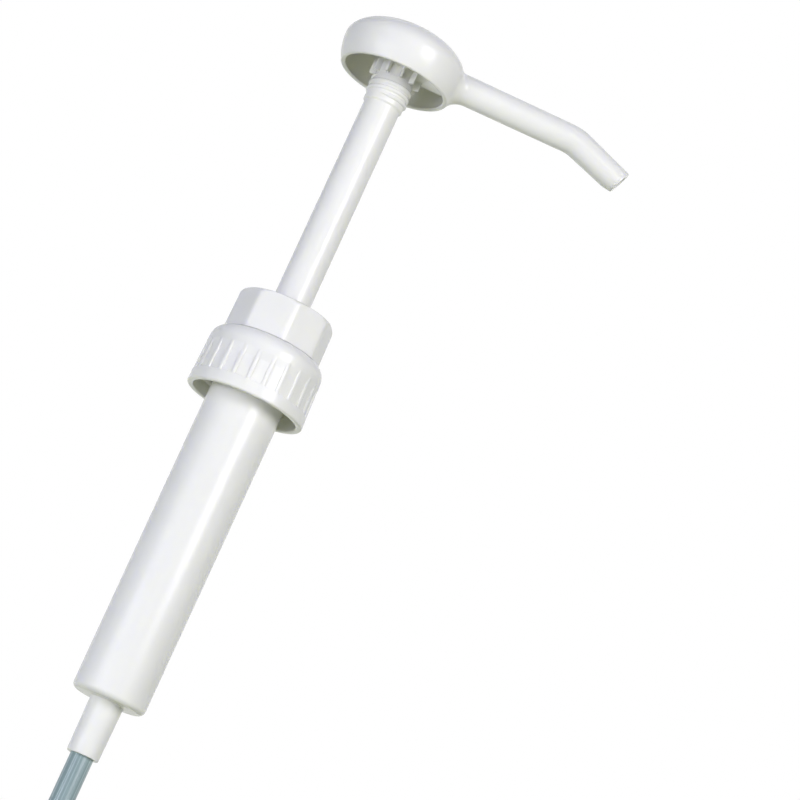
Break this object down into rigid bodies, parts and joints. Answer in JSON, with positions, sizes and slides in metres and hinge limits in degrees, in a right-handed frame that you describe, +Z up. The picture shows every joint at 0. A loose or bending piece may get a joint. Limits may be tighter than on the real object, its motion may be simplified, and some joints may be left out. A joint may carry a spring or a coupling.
{
  "type": "dosing pump",
  "caption": "Hand dosing pump for a jug: domed push head with a bent spout on a hollow stem, sprung piston in a long barrel, octagonal collar, ribbed screw closure and dip tube.",
  "frame": {"origin": "on the pump's axis, in the neck seat plane where the jug's neck meets the underside of the gasket", "axes": "+Z up along the pump's axis towards the head, +X along the spout as drawn"},
  "size_m": [0.1101, 0.0444, 0.4094],
  "materials": {
    "white_polypropylene": "moulded, glossy white polypropylene",
    "natural_polyethylene": "moulded, waxy natural polyethylene",
    "clear_tube": "extruded translucent polyethylene",
    "foam_gasket": "pressed polyethylene foam",
    "seal_rubber": "moulded nitrile rubber",
    "spring_steel": "drawn stainless wire",
    "ball_steel": "polished stainless ball"
  },
  "bodies": {
    "body": {"cylinder": "white_polypropylene", "dip_tube": "clear_tube", "neck_gasket": "foam_gasket", "collar_nut": "white_polypropylene", "stem_guide": "natural_polyethylene", "stem_seal": "seal_rubber", "inlet_valve_cage": "natural_polyethylene", "spring": "spring_steel"},
    "closure": {"closure_cap": "white_polypropylene"},
    "plunger": {"piston": "natural_polyethylene"},
    "head": {"actuator_head": "white_polypropylene", "stem": "white_polypropylene", "outlet_valve_seat": "natural_polyethylene"},
    "lower_ball": {"inlet_ball": "ball_steel"},
    "upper_ball": {"outlet_ball": "ball_steel"}
  },
  "joints": [
    {"name": "closure_spin", "type": "hinge", "parent": "body", "child": "closure", "pos_m": [0, 0, 0], "axis": [0, 0, 1], "continuous": true},
    {"name": "pump_stroke", "type": "slide", "parent": "body", "child": "plunger", "axis": [0, 0, 1], "range_m": [-0.088, 0], "stiffness_N_per_m": 280, "springref_m": 0.05, "deforming": ["spring"]},
    {"name": "head_swivel", "type": "hinge", "parent": "plunger", "child": "head", "pos_m": [0, 0, 0], "axis": [0, 0, 1], "continuous": true},
    {"name": "inlet_ball_lift", "type": "slide", "parent": "body", "child": "lower_ball", "axis": [0, 0, 1], "range_m": [0, 0.0025]},
    {"name": "outlet_ball_lift", "type": "slide", "parent": "head", "child": "upper_ball", "axis": [0, 0, 1], "range_m": [0, 0.0025]}
  ]
}
